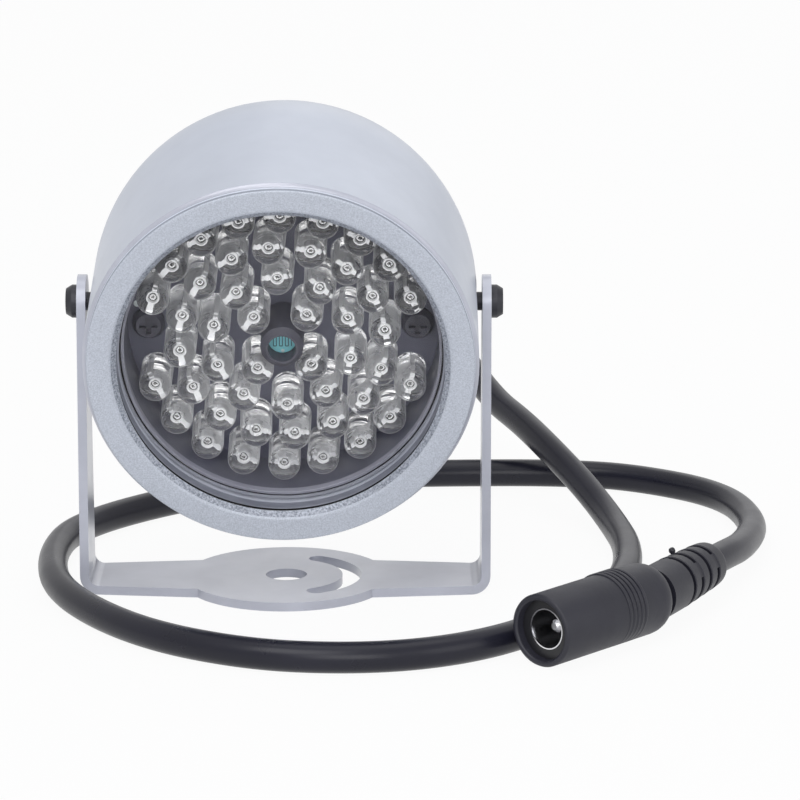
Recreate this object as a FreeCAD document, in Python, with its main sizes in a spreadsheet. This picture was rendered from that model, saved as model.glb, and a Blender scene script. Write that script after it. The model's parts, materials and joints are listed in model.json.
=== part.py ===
import FreeCAD, Part
import math
import os

import Sketcher

# Infrared illuminator: a round lamp head with four circles of diodes behind a window,
# tilting in a folded sheet bracket, with a cord that ends in an in-line power socket.
# Millimetres, +Z up. The origin is the centre of the base hole on the bracket's underside,
# the head looks along -Y and its pivot lies along X.
# Places on the head are radii from its axis and distances ahead of the pivot.

SIZES = {
    # Bracket
    "sheet_thickness": 1.4,
    "fold_radius": 1.6,
    "side_gap": 0.8,
    "blank_width": 64.0,
    "cut_reach": 40.0,
    "lobe_radius": 16.0,
    "arm_width_at_lobe": 16.6,
    "arm_width_at_fold": 13.4,
    "leg_top_width": 8.4,
    "base_hole_radius": 3.25,
    "slot_radius": 10.4,
    "slot_width": 3.0,
    "slot_half_angle": 62.0,
    "pivot_height": 45.7,
    # Screws
    "screw_clearance": 0.1,
    "pivot_screw_radius": 1.45,
    "pivot_screw_length": 8.0,
    "pivot_head_radius": 2.6,
    "pivot_head_height": 1.85,
    "board_screw_radius": 0.95,
    "board_screw_length": 7.5,
    "board_head_radius": 2.5,
    "board_head_height": 1.8,
    "screw_head_side": 0.5,
    "screw_head_top": 0.78,
    "recess_width": 0.8,
    "recess_span": 2.8,
    "recess_depth": 0.9,
    "tapped_extra": 0.8,
    # Housing
    "head_tilt": 13.2,
    "housing_wall": 2.4,
    "seam_distance": 22.5,
    "dome_start": 3.4,
    "dome_flat_radius": 5.6,
    "cavity_floor_radius": 7.0,
    "spot_radius": 4.0,
    "spot_depth": 0.2,
    "boss_half_width": 3.7,
    "boss_length": 16.0,
    "boss_overlap": 0.6,
    # Bezel ring
    "ring_inset": 0.65,
    "ring_edge_bevel": 0.6,
    "ring_edge_height": 1.6,
    "ring_crest_height": 1.1,
    "ring_crest_inset": 3.5,
    "ring_lip_height": 0.25,
    "lip_overlap": 1.35,
    "lip_depth": 2.6,
    "skirt_wall": 1.0,
    "skirt_length": 9.7,
    "thread_clearance": 0.2,
    # Window stack
    "window_thickness": 2.0,
    "window_clearance": 0.2,
    "gasket_thickness": 0.8,
    "gasket_overhang": 0.1,
    "spacer_wall": 2.1,
    "board_thickness": 1.6,
    # Diodes
    "led_radius": 2.45,
    "led_height": 9.95,
    "led_shoulder_width": 0.5,
    "led_shoulder_height": 1.5,
    "led_tip_width": 1.0,
    "led_tip_height": 0.95,
    "led_window_gap": 1.15,
    "led_standoff": 0.6,
    "lead_width": 0.5,
    "lead_offset": 1.27,
    "led_wall_clearance": 0.75,
    "row_gap_inner": -0.05,
    "row_gap_middle": 0.15,
    "row_gap_outer": 0.2,
    "row_1_angle": 20.8,
    "row_1_spread_angle": 138.4,
    "row_2_angle": 6.3,
    "row_3_angle": 21.0,
    "row_4_angle": 48.0,
    # Light sensor
    "sensor_radius": 2.5,
    "sensor_thickness": 2.0,
    "sensor_depth": 3.6,
    "sensor_leg_radius": 0.25,
    "sensor_leg_offset": 1.3,
    "sleeve_radius": 3.3,
    "sleeve_wall": 0.65,
    "sleeve_edge": 0.85,
    "sleeve_lip_radius": 2.15,
    "sleeve_lip_length": 3.2,
    "sleeve_gap": 0.15,
    "sleeve_window_gap": 1.2,
    # Parts on the back of the board
    "resistor_length": 3.2,
    "resistor_width": 1.6,
    "resistor_thickness": 0.6,
    "resistor_circle": 13.0,
    "resistor_count": 8,
    "transistor_width": 4.6,
    "transistor_depth": 3.6,
    "transistor_height": 4.4,
    "transistor_offset": 6.0,
    "wire_radius": 0.65,
    "wire_offset": 1.15,
    # Grommet and cord
    "cord_radius": 2.35,
    "cord_clearance": 0.05,
    "grommet_neck_radius": 3.6,
    "grommet_flange_radius": 5.4,
    "grommet_flange_thickness": 1.5,
    "grommet_inner_radius": 6.0,
    "grommet_root_radius": 4.4,
    "grommet_tip_radius": 3.3,
    "grommet_length": 8.0,
    "cord_entry": 1.0,
    "cord_exit_run": 9.5,
    # In-line socket
    "socket_x": 38.65,
    "socket_y": -44.8,
    "socket_heading": 47.1,
    "socket_radius": 5.55,
    "socket_bevel": 0.4,
    "barrel_length": 25.2,
    "shoulder_radius": 5.0,
    "shoulder_length": 1.8,
    "shoulder_tip_radius": 3.3,
    "shoulder_tip_length": 3.2,
    "relief_distance": 25.8,
    "relief_heading": 60.5,
    "relief_roll": -30.0,
    "relief_length": 19.8,
    "neck_radius": 4.05,
    "neck_length": 6.0,
    "relief_tip_radius": 3.45,
    "relief_core_radius": 2.8,
    "relief_first_slot": 6.5,
    "relief_slot_rows": 4,
    "relief_slot_width": 0.95,
    "relief_slot_pitch": 3.1,
    "relief_slot_angle": 140.0,
    "insert_radius": 4.55,
    "insert_recess": 1.45,
    "insert_length": 14.0,
    "socket_bore_radius": 3.1,
    "socket_bore_depth": 10.0,
    "contact_wall": 0.18,
    "pin_radius": 1.0,
    "pin_tip_radius": 0.5,
    "pin_recess": 3.2,
    "cord_socket_depth": 6.0,
    "cord_socket_run": 5.0,
}

doc = FreeCAD.newDocument("infrared_illuminator")
nodes = []


def make_sheet():
    """Spreadsheet of the driving dimensions, one named cell each."""
    sheet = doc.addObject("Spreadsheet::Sheet", "size")
    for row, (name, value) in enumerate(SIZES.items(), start=1):
        sheet.set(f"A{row}", name)
        sheet.set(f"B{row}", str(value))
        sheet.setAlias(f"B{row}", name)
    doc.recompute()
    return sheet


size = make_sheet()

# Radii on the head, worked out from the middle outwards
ROW_4 = "(size.sleeve_radius + size.sleeve_gap + size.led_radius)"
ROW_3 = f"({ROW_4} + 2 * size.led_radius + size.row_gap_inner)"
ROW_2 = f"({ROW_3} + 2 * size.led_radius + size.row_gap_middle)"
ROW_1 = f"({ROW_2} + 2 * size.led_radius + size.row_gap_outer)"
BOARD_SCREW_CIRCLE = f"({ROW_2} + size.led_radius + size.board_head_radius)"
SPACER_INNER = f"({ROW_1} + size.led_radius + size.led_wall_clearance)"
WINDOW_RADIUS = f"({SPACER_INNER} + size.spacer_wall)"
RING_INNER = f"({WINDOW_RADIUS} - size.lip_overlap)"
SKIRT_INNER = f"({WINDOW_RADIUS} + size.window_clearance)"
SKIRT_OUTER = f"({SKIRT_INNER} + size.skirt_wall)"
BORE = f"({SKIRT_OUTER} + size.thread_clearance)"
HOUSING_RADIUS = f"({BORE} + size.housing_wall)"
RING_OUTER = f"({HOUSING_RADIUS} - size.ring_inset)"
SPOT_FACE = f"({HOUSING_RADIUS} - size.spot_depth)"
LEG_INNER = f"({HOUSING_RADIUS} + size.side_gap)"
LEG_OUTER = f"({LEG_INNER} + size.sheet_thickness)"

# Distances ahead of the pivot, worked out from the seam backwards
WINDOW_FRONT = "(size.seam_distance - size.lip_depth)"
WINDOW_BACK = f"({WINDOW_FRONT} - size.window_thickness)"
GASKET_BACK = f"({WINDOW_BACK} - size.gasket_thickness)"
BOARD_FRONT = f"({WINDOW_BACK} - size.led_window_gap - size.led_height)"
BOARD_BACK = f"({BOARD_FRONT} - size.board_thickness)"
DOME_BACK = f"(-size.dome_start - sqrt({HOUSING_RADIUS} ^ 2 - size.dome_flat_radius ^ 2))"
CAVITY_FLOOR = f"({DOME_BACK} + size.housing_wall)"
GROMMET_INNER_FACE = f"({CAVITY_FLOOR} + size.grommet_flange_thickness)"
GROMMET_TIP = f"({DOME_BACK} - size.grommet_length)"
CORD_START = f"({GROMMET_INNER_FACE} + size.cord_entry)"

# Root of the strain relief, on the axis of the socket's barrel
RELIEF_X = "(size.socket_x + size.relief_distance * cos(size.socket_heading * 1deg))"
RELIEF_Y = "(size.socket_y + size.relief_distance * sin(size.socket_heading * 1deg))"


def number(expression):
    """Value of an expression in the sheet's names."""
    return float(size.evalExpression(expression))


# Where pieces are placed


def bind(thing, place):
    """Set properties of an object to expressions."""
    for name, expression in place.items():
        thing.setExpression(name, expression)


def place_in_head(thing):
    """Z along the head axis and forward, X along the pivot, origin at the pivot."""
    thing.Placement = FreeCAD.Placement(
        FreeCAD.Vector(0, 0, number("size.pivot_height")),
        FreeCAD.Rotation(FreeCAD.Vector(1, 0, 0), number("90 + size.head_tilt")),
    )
    bind(thing, {
        "Placement.Base.z": "size.pivot_height",
        "Placement.Rotation.Angle": "90 + size.head_tilt",
    })


def place_on_side(thing, side):
    """Z outwards along the pivot on one side, origin at the outer face of the leg."""
    face = f"{side} * {LEG_OUTER}"
    thing.Placement = FreeCAD.Placement(
        FreeCAD.Vector(number(face), 0, number("size.pivot_height")),
        FreeCAD.Rotation(FreeCAD.Vector(0, 1, 0), side * 90),
    )
    bind(thing, {"Placement.Base.x": face, "Placement.Base.z": "size.pivot_height"})


def place_on_board(thing, side):
    """Z along the head axis, origin at the board's face at one of its two screws."""
    place_in_head(thing)
    local = FreeCAD.Vector(side * number(BOARD_SCREW_CIRCLE), 0, number(BOARD_FRONT))
    thing.Placement = FreeCAD.Placement(thing.Placement.multVec(local), thing.Placement.Rotation)
    bind(thing, {
        "Placement.Base.x": f"{side} * {BOARD_SCREW_CIRCLE}",
        "Placement.Base.y": f"-{BOARD_FRONT} * cos(size.head_tilt * 1deg)",
        "Placement.Base.z": f"size.pivot_height - {BOARD_FRONT} * sin(size.head_tilt * 1deg)",
    })


def level_frame(x, y, height, heading):
    """Z along a level heading, X towards the floor."""
    turn = math.radians(number(heading))
    along = FreeCAD.Vector(math.cos(turn), math.sin(turn), 0)
    down = FreeCAD.Vector(0, 0, -1)
    spot = FreeCAD.Vector(number(x), number(y), number(height))
    return FreeCAD.Placement(spot, FreeCAD.Rotation(down, along.cross(down), along, "ZXY"))


def place_socket(thing):
    """Z from the socket's mouth along its barrel, lying on the floor."""
    frame = ("size.socket_x", "size.socket_y", "size.socket_radius", "size.socket_heading")
    thing.Placement = level_frame(*frame)
    bind(thing, {
        "Placement.Base.x": "size.socket_x",
        "Placement.Base.y": "size.socket_y",
        "Placement.Base.z": "size.socket_radius",
    })


def relief_placement():
    """Z along the strain relief, from its root inside the barrel's shoulder to its cord end."""
    return level_frame(RELIEF_X, RELIEF_Y, "size.socket_radius", "size.relief_heading")


def place_relief(thing):
    """On the strain relief's axis, rolled so that its slots face the way they do on the object."""
    root = relief_placement()
    roll = FreeCAD.Rotation(FreeCAD.Vector(0, 0, 1), number("size.relief_roll"))
    thing.Placement = FreeCAD.Placement(root.Base, root.Rotation.multiply(roll))
    bind(thing, {
        "Placement.Base.x": RELIEF_X,
        "Placement.Base.y": RELIEF_Y,
        "Placement.Base.z": "size.socket_radius",
    })


# Sketches and features


def new_body(name):
    """A body with its own label, kept as a node."""
    body = doc.addObject("PartDesign::Body", name)
    body.Label = name
    nodes.append(body)
    return body


def new_sketch(body, name, plane, offset="0"):
    """A sketch on one of the body's own planes, moved along the plane's normal."""
    sketch = body.newObject("Sketcher::SketchObject", f"{body.Name}_{name}")
    origin_plane = [feature for feature in body.Origin.OriginFeatures if feature.Role == plane][0]
    sketch.AttachmentSupport = [(origin_plane, "")]
    sketch.MapMode = "FlatFace"
    sketch.AttachmentOffset = FreeCAD.Placement(
        FreeCAD.Vector(0, 0, number(offset)), FreeCAD.Rotation()
    )
    sketch.setExpression("AttachmentOffset.Base.z", offset)
    return sketch


def hold_point(sketch, edge, end, x, y):
    """Fix a point of the sketch at two expressions, either of which may be left free."""
    for kind, expression in (("DistanceX", x), ("DistanceY", y)):
        if expression is not None:
            rule = Sketcher.Constraint(kind, -1, 1, edge, end, number(expression))
            index = sketch.addConstraint(rule)
            sketch.setExpression(f"Constraints[{index}]", expression)


def arc_between(start, end, centre, turn):
    """Arc from one point to another about a centre, counter-clockwise if turn is 1."""
    first, last = (start, end) if turn > 0 else (end, start)
    angles = [math.atan2(point.y - centre.y, point.x - centre.x) for point in (first, last)]
    if angles[1] <= angles[0]:
        angles[1] += 2 * math.pi
    circle = Part.Circle(centre, FreeCAD.Vector(0, 0, 1), (first - centre).Length)
    return Part.ArcOfCircle(circle, *angles)


def outline(sketch, corners, arcs=None):
    """Closed outline through corners given as pairs of expressions.

    arcs gives, for an edge that starts at that corner, the centre's x and y, which of the two
    is held, and the turn. The other coordinate follows from the arc's two ends.
    """
    arcs = arcs or {}
    points = [FreeCAD.Vector(number(x), number(y), 0) for x, y in corners]
    first = sketch.GeometryCount
    ends = []
    for index, start in enumerate(points):
        end = points[(index + 1) % len(points)]
        edge = first + index
        if index in arcs:
            x, y, held, turn = arcs[index]
            centre = FreeCAD.Vector(number(x), number(y), 0)
            sketch.addGeometry(arc_between(start, end, centre, turn), False)
            hold_point(sketch, edge, 3, x if held == "x" else None, y if held == "y" else None)
            ends.append((edge, 1, 2) if turn > 0 else (edge, 2, 1))
        else:
            sketch.addGeometry(Part.LineSegment(start, end), False)
            ends.append((edge, 1, 2))
    for index, (edge, begin, finish) in enumerate(ends):
        follower, follower_begin, _ = ends[(index + 1) % len(ends)]
        sketch.addConstraint(Sketcher.Constraint("Coincident", edge, finish, follower, follower_begin))
        hold_point(sketch, edge, begin, *corners[index])


def circle(sketch, x, y, radius):
    """Circle at two expressions, with an expression for its radius."""
    centre = FreeCAD.Vector(number(x), number(y), 0)
    ring = Part.Circle(centre, FreeCAD.Vector(0, 0, 1), number(radius))
    edge = sketch.addGeometry(ring, False)
    hold_point(sketch, edge, 3, x, y)
    index = sketch.addConstraint(Sketcher.Constraint("Radius", edge, number(radius)))
    sketch.setExpression(f"Constraints[{index}]", radius)


def rectangle(sketch, low, high):
    """Rectangle between two corners given as pairs of expressions."""
    outline(sketch, [low, (high[0], low[1]), high, (low[0], high[1])])


def add_feature(body, kind, sketch, length=None, both_ways=False, reverse=False):
    """Pad or pocket from a sketch. With no length a pocket goes through everything."""
    feature = body.newObject(f"PartDesign::{kind}", f"{sketch.Name}_{kind.lower()}")
    feature.Profile = (sketch, [""])
    if length is None:
        feature.Type = "ThroughAll"
    else:
        feature.Length = number(length)
        feature.setExpression("Length", length)
    feature.Midplane = both_ways
    feature.Reversed = reverse
    return feature


def turn_about_axis(body, kind, sketch, angle=360):
    """Revolution or groove of a sketch about its own vertical axis."""
    feature = body.newObject(f"PartDesign::{kind}", f"{sketch.Name}_{kind.lower()}")
    feature.Profile = (sketch, [""])
    feature.ReferenceAxis = (sketch, ["V_Axis"])
    feature.Angle = angle
    feature.Midplane = angle < 360
    return feature


def turned_form(name, corners, arcs=None):
    """A body revolved about its Z axis from one closed outline of radius and height."""
    body = doc.addObject("PartDesign::Body", name)
    profile = new_sketch(body, "profile", "XZ_Plane")
    outline(profile, corners, arcs)
    turn_about_axis(body, "Revolution", profile)
    return body


def turned_piece(name, corners, arcs=None):
    """A turned form that is a node by itself."""
    body = turned_form(name, corners, arcs)
    body.Label = name
    nodes.append(body)
    return body


def mirror(body, features, plane):
    """Copies of features on the other side of one of the body's planes."""
    origin_plane = [feature for feature in body.Origin.OriginFeatures if feature.Role == plane][0]
    copy = body.newObject("PartDesign::Mirrored", f"{features[0].Name}_mirrored")
    copy.Originals = features
    copy.MirrorPlane = (origin_plane, [""])
    body.Tip = copy
    return copy


def plain_shape(name, shape, placement=None):
    """A node whose shape is made directly."""
    feature = doc.addObject("Part::Feature", name)
    feature.Label = name
    feature.Shape = shape
    if placement is not None:
        feature.Placement = placement
    nodes.append(feature)
    return feature


# Bracket


def make_bracket():
    """One strip of sheet: base lobe with arms, folded up into two tapering legs."""
    body = new_body("bracket")
    fold(body)
    trim_base(body)
    trim_legs(body)
    cut_base_holes(body)
    holes = new_sketch(body, "pivot_holes", "YZ_Plane")
    circle(holes, "0", "size.pivot_height", "size.pivot_screw_radius + size.screw_clearance")
    add_feature(body, "Pocket", holes, both_ways=True)


def fold(body):
    """The folded strip, as wide as the lobe all over."""
    inner, outer = LEG_INNER, LEG_OUTER
    sheet = "size.sheet_thickness"
    bend = f"({sheet} + size.fold_radius)"
    top = "(size.pivot_height + size.leg_top_width)"
    profile = new_sketch(body, "profile", "XZ_Plane")
    corners = [
        (f"-{outer} + {bend}", "0"),
        (f"{outer} - {bend}", "0"),
        (outer, bend),
        (outer, top),
        (inner, top),
        (inner, bend),
        (f"{outer} - {bend}", sheet),
        (f"-{outer} + {bend}", sheet),
        (f"-{inner}", bend),
        (f"-{inner}", top),
        (f"-{outer}", top),
        (f"-{outer}", bend),
    ]
    arcs = {
        1: (f"{outer} - {bend}", bend, "x", 1),
        5: (f"{outer} - {bend}", bend, "x", -1),
        7: (f"-{outer} + {bend}", bend, "x", -1),
        11: (f"-{outer} + {bend}", bend, "x", 1),
    }
    outline(profile, corners, arcs)
    add_feature(body, "Pad", profile, "size.blank_width", both_ways=True)


def trim_base(body):
    """Cut away what lies outside the lobe and the tapering arms, seen from above."""
    far = f"({LEG_OUTER} + size.sheet_thickness)"
    fold_x = f"({LEG_OUTER} - size.sheet_thickness - size.fold_radius)"
    end = "size.arm_width_at_fold / 2"
    root = "size.arm_width_at_lobe / 2"
    join = f"sqrt(size.lobe_radius ^ 2 - ({root}) ^ 2)"
    plan = new_sketch(body, "plan", "XY_Plane")
    reach = "size.cut_reach"
    rectangle(plan, (f"-{far} - {reach}", f"-{reach}"), (f"{far} + {reach}", reach))
    corners = [
        (far, f"-{end}"),
        (far, end),
        (fold_x, end),
        (join, root),
        (f"-{join}", root),
        (f"-{fold_x}", end),
        (f"-{far}", end),
        (f"-{far}", f"-{end}"),
        (f"-{fold_x}", f"-{end}"),
        (f"-{join}", f"-{root}"),
        (join, f"-{root}"),
        (fold_x, f"-{end}"),
    ]
    arcs = {3: ("0", "0", "y", 1), 9: ("0", "0", "y", 1)}
    outline(plan, corners, arcs)
    add_feature(body, "Pocket", plan, both_ways=True)


def trim_legs(body):
    """Taper both legs and round their tops, seen from the side."""
    wide = "size.cut_reach"
    above = "(size.pivot_height + 2 * size.leg_top_width)"
    start = "(size.sheet_thickness + size.fold_radius)"
    foot = "size.arm_width_at_fold / 2"
    head = "size.leg_top_width / 2"
    side = new_sketch(body, "side", "YZ_Plane")
    corners = [
        (foot, start),
        (head, "size.pivot_height"),
        (f"-{head}", "size.pivot_height"),
        (f"-{foot}", start),
        (f"-{wide}", start),
        (f"-{wide}", above),
        (wide, above),
        (wide, start),
    ]
    arcs = {1: ("0", "size.pivot_height", "y", 1)}
    outline(side, corners, arcs)
    add_feature(body, "Pocket", side, both_ways=True)


def cut_base_holes(body):
    """Fixing hole in the middle and the curved slot beside it."""
    inner = "(size.slot_radius - size.slot_width / 2)"
    outer = "(size.slot_radius + size.slot_width / 2)"
    cosine = "cos(size.slot_half_angle * 1deg)"
    sine = "sin(size.slot_half_angle * 1deg)"
    holes = new_sketch(body, "base_holes", "XY_Plane")
    circle(holes, "0", "0", "size.base_hole_radius")
    corners = [
        (f"{outer} * {cosine}", f"-{outer} * {sine}"),
        (f"{outer} * {cosine}", f"{outer} * {sine}"),
        (f"{inner} * {cosine}", f"{inner} * {sine}"),
        (f"{inner} * {cosine}", f"-{inner} * {sine}"),
    ]
    middle_x = f"size.slot_radius * {cosine}"
    middle_y = f"size.slot_radius * {sine}"
    arcs = {
        0: ("0", "0", "x", 1),
        1: (middle_x, middle_y, "x", 1),
        2: ("0", "0", "x", -1),
        3: (middle_x, f"-{middle_y}", "x", 1),
    }
    outline(holes, corners, arcs)
    add_feature(body, "Pocket", holes, both_ways=True)


# Screws


def cross_recess(body, top):
    """Cross-shaped driver recess in the top of a screw head."""
    half = "size.recess_width / 2"
    reach = "size.recess_span / 2"
    recess = new_sketch(body, "recess", "XY_Plane", top)
    quarter = [(reach, f"-{half}"), (reach, half), (half, half)]
    corners = []
    for _ in range(4):
        corners += quarter
        quarter = [(f"-({y})", x) for x, y in quarter]
    outline(recess, corners)
    add_feature(body, "Pocket", recess, "size.recess_depth")


def make_screw(name, kind):
    """Pan-head screw, its head standing on the origin plane and its shank below."""
    shank, length = f"size.{kind}_screw_radius", f"size.{kind}_screw_length"
    head, height = f"size.{kind}_head_radius", f"size.{kind}_head_height"
    body = turned_piece(name, [
        ("0", f"-{length}"),
        (shank, f"-{length}"),
        (shank, "0"),
        (head, "0"),
        (head, f"size.screw_head_side * {height}"),
        (f"size.screw_head_top * {head}", height),
        ("0", height),
    ])
    cross_recess(body, height)
    return body


def make_screws():
    """Two screws through the legs and two that hold the board, left and right."""
    for word, side in (("left", -1), ("right", 1)):
        place_on_side(make_screw(f"pivot_screw_{word}", "pivot"), side)
        place_on_board(make_screw(f"board_screw_{word}", "board"), side)


# Housing


def make_housing():
    """Die-cast cup: cylinder with a domed back, bosses on both sides inside."""
    corner = f"sqrt(0.5) * {BORE}"
    body = turned_piece("housing", [
        (BORE, "size.seam_distance"),
        (HOUSING_RADIUS, "size.seam_distance"),
        (HOUSING_RADIUS, "-size.dome_start"),
        ("size.dome_flat_radius", DOME_BACK),
        ("size.grommet_neck_radius", DOME_BACK),
        ("size.grommet_neck_radius", CAVITY_FLOOR),
        ("size.cavity_floor_radius", CAVITY_FLOOR),
        (corner, f"-size.dome_start - {corner}"),
        (BORE, "-size.dome_start"),
    ], {2: ("0", "-size.dome_start", "y", -1)})
    place_in_head(body)
    bosses = add_bosses(body)
    tapped = tap_holes(body)
    mirror(body, bosses + tapped, "YZ_Plane")


def add_bosses(body):
    """Block on the side wall that the board sits on and the pivot screw enters."""
    inner = f"({BOARD_SCREW_CIRCLE} - size.boss_half_width)"
    half = "size.boss_half_width"
    seat = new_sketch(body, "boss", "XY_Plane", BOARD_BACK)
    outer = f"({BORE} + size.boss_overlap)"
    rectangle(seat, (inner, f"-{half}"), (outer, half))
    return [add_feature(body, "Pad", seat, "size.boss_length", reverse=True)]


def tap_holes(body):
    """Pivot hole with its spot face, and the board screw's hole."""
    tip = f"({LEG_OUTER} - size.pivot_screw_length - size.tapped_extra)"
    pivot = new_sketch(body, "pivot_hole", "YZ_Plane", tip)
    circle(pivot, "0", "0", "size.pivot_screw_radius + size.screw_clearance / 2")
    pivot_hole = add_feature(body, "Pocket", pivot, f"{LEG_OUTER} - {tip}", reverse=True)
    spot = new_sketch(body, "spot", "YZ_Plane", SPOT_FACE)
    circle(spot, "0", "0", "size.spot_radius")
    spot_face = add_feature(body, "Pocket", spot, "size.housing_wall", reverse=True)
    screw = new_sketch(body, "board_hole", "XY_Plane", BOARD_BACK)
    circle(screw, BOARD_SCREW_CIRCLE, "0", "size.board_screw_radius + size.screw_clearance / 2")
    depth = "size.board_screw_length - size.board_thickness + size.tapped_extra"
    board_hole = add_feature(body, "Pocket", screw, depth)
    return [pivot_hole, spot_face, board_hole]


def make_bezel_ring():
    """Turned front ring: flange with a crowned face, lip over the window, threaded skirt."""
    seam = "size.seam_distance"
    edge_top = f"{seam} + size.ring_edge_height"
    crest = f"{RING_OUTER} - size.ring_crest_inset"
    skirt_end = f"({seam} - size.skirt_length)"
    ring = turned_piece("bezel_ring", [
        (SKIRT_OUTER, seam),
        (RING_OUTER, seam),
        (RING_OUTER, f"{edge_top} - size.ring_edge_bevel"),
        (f"{RING_OUTER} - size.ring_edge_bevel", edge_top),
        (crest, f"{seam} + size.ring_crest_height"),
        (RING_INNER, f"{seam} + size.ring_lip_height"),
        (RING_INNER, WINDOW_FRONT),
        (SKIRT_INNER, WINDOW_FRONT),
        (SKIRT_INNER, skirt_end),
        (SKIRT_OUTER, skirt_end),
    ])
    place_in_head(ring)


# Window stack


def make_window_stack():
    """Window, gasket and spacer behind the ring's lip, in front of the board."""
    pieces = [
        turned_piece("window", disc("0", WINDOW_RADIUS, WINDOW_BACK, WINDOW_FRONT)),
        turned_piece("window_gasket", disc(
            f"{SPACER_INNER} - size.gasket_overhang", WINDOW_RADIUS, GASKET_BACK, WINDOW_BACK)),
        turned_piece("spacer_ring", disc(SPACER_INNER, WINDOW_RADIUS, BOARD_FRONT, GASKET_BACK)),
    ]
    for piece in pieces:
        place_in_head(piece)


def disc(inner, outer, back, front):
    """Outline of a disc or a flat ring."""
    return [(inner, back), (outer, back), (outer, front), (inner, front)]


def make_led_board():
    """Round printed board with a hole for each of its two screws."""
    board = turned_piece("led_board", disc("0", WINDOW_RADIUS, BOARD_BACK, BOARD_FRONT))
    place_in_head(board)
    holes = new_sketch(board, "screw_holes", "XY_Plane")
    for side in ("-", ""):
        circle(holes, f"{side}{BOARD_SCREW_CIRCLE}", "0", "size.board_screw_radius + size.screw_clearance")
    add_feature(board, "Pocket", holes, both_ways=True)


# Diodes


def make_led_row(name, radius, start, count, spread=None):
    """Diodes on one circle: two leads and a body of twelve sides, its dome cut as two bevels."""
    body = new_body(name)
    place_in_head(body)
    feet = new_sketch(body, "feet", "XY_Plane", BOARD_FRONT)
    for side in ("", "-"):
        outline(feet, lead_corners(radius, start, f"({side}size.lead_offset)"))
    leads = add_feature(body, "Pad", feet, "size.led_standoff")
    plan = new_sketch(body, "plan", "XY_Plane", f"{BOARD_FRONT} + size.led_standoff")
    outline(plan, twelve_sides(radius, start, "size.led_radius"))
    stem = add_feature(body, "Pad", plan, "size.led_height - size.led_standoff")
    shoulder = bevel_top(body, stem, "size.led_shoulder_width", "size.led_shoulder_height")
    dome = bevel_top(body, shoulder, "size.led_tip_width", "size.led_tip_height")
    pattern_about_axis(body, [leads, dome], count, spread)


def lead_corners(radius, start, along):
    """Corners of a square lead, moved along the circle from a point at a radius and an angle."""
    half = "size.lead_width / 2"
    cosine, sine = f"cos({start} * 1deg)", f"sin({start} * 1deg)"
    corners = []
    for out, aside in (("-", "-"), ("+", "-"), ("+", "+"), ("-", "+")):
        far = f"({radius} {out} {half})"
        past = f"({along} {aside} {half})"
        corners.append((f"{far} * {cosine} - {past} * {sine}", f"{far} * {sine} + {past} * {cosine}"))
    return corners


def bevel_top(body, feature, width, height):
    """Bevel all round the highest flat face of a feature."""
    doc.recompute()
    faces = list(enumerate(feature.Shape.Faces, start=1))
    top = max(faces, key=lambda item: feature.Shape.Placement.inverse().multVec(item[1].CenterOfMass).z)
    bevel = body.newObject("PartDesign::Chamfer", f"{feature.Name}_bevel")
    bevel.Base = (feature, [f"Face{top[0]}"])
    bevel.ChamferType = "Two distances"
    bevel.Size = number(height)
    bevel.Size2 = number(width)
    bevel.setExpression("Size", height)
    bevel.setExpression("Size2", width)
    bevel.SupportTransform = True
    return bevel


def twelve_sides(radius, start, width):
    """Corners of a regular outline about a point at a radius and an angle."""
    corners = []
    for index in range(12):
        turn = f"({start} + {30 * index}) * 1deg"
        corners.append((
            f"{radius} * cos({start} * 1deg) + {width} * cos({turn})",
            f"{radius} * sin({start} * 1deg) + {width} * sin({turn})",
        ))
    return corners


def pattern_about_axis(body, features, count, spread):
    """Copies about the body's Z axis, over a full turn or mirrored over a part of one."""
    z_axis = [item for item in body.Origin.OriginFeatures if item.Role == "Z_Axis"][0]
    if spread is None:
        polar = body.newObject("PartDesign::PolarPattern", f"{body.Name}_pattern")
        polar.Originals = features
        polar.Axis = (z_axis, [""])
        polar.Angle = 360
        polar.Occurrences = count
        body.Tip = polar
        return
    both = body.newObject("PartDesign::MultiTransform", f"{body.Name}_pattern")
    both.Originals = features
    polar = body.newObject("PartDesign::PolarPattern", f"{body.Name}_arc")
    polar.Axis = (z_axis, [""])
    polar.Angle = number(spread)
    polar.setExpression("Angle", spread)
    polar.Occurrences = count
    mirrored = body.newObject("PartDesign::Mirrored", f"{body.Name}_other_half")
    plane = [item for item in body.Origin.OriginFeatures if item.Role == "XZ_Plane"][0]
    mirrored.MirrorPlane = (plane, [""])
    both.Transformations = [polar, mirrored]
    body.Tip = both


def make_leds():
    """Four circles of diodes, the outer one with gaps at the two board screws."""
    make_led_row("led_row_outer", ROW_1, "size.row_1_angle", 9, "size.row_1_spread_angle")
    make_led_row("led_row_second", ROW_2, "size.row_2_angle", 16)
    make_led_row("led_row_third", ROW_3, "size.row_3_angle", 10)
    make_led_row("led_row_inner", ROW_4, "size.row_4_angle", 4)


# Light sensor


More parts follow.
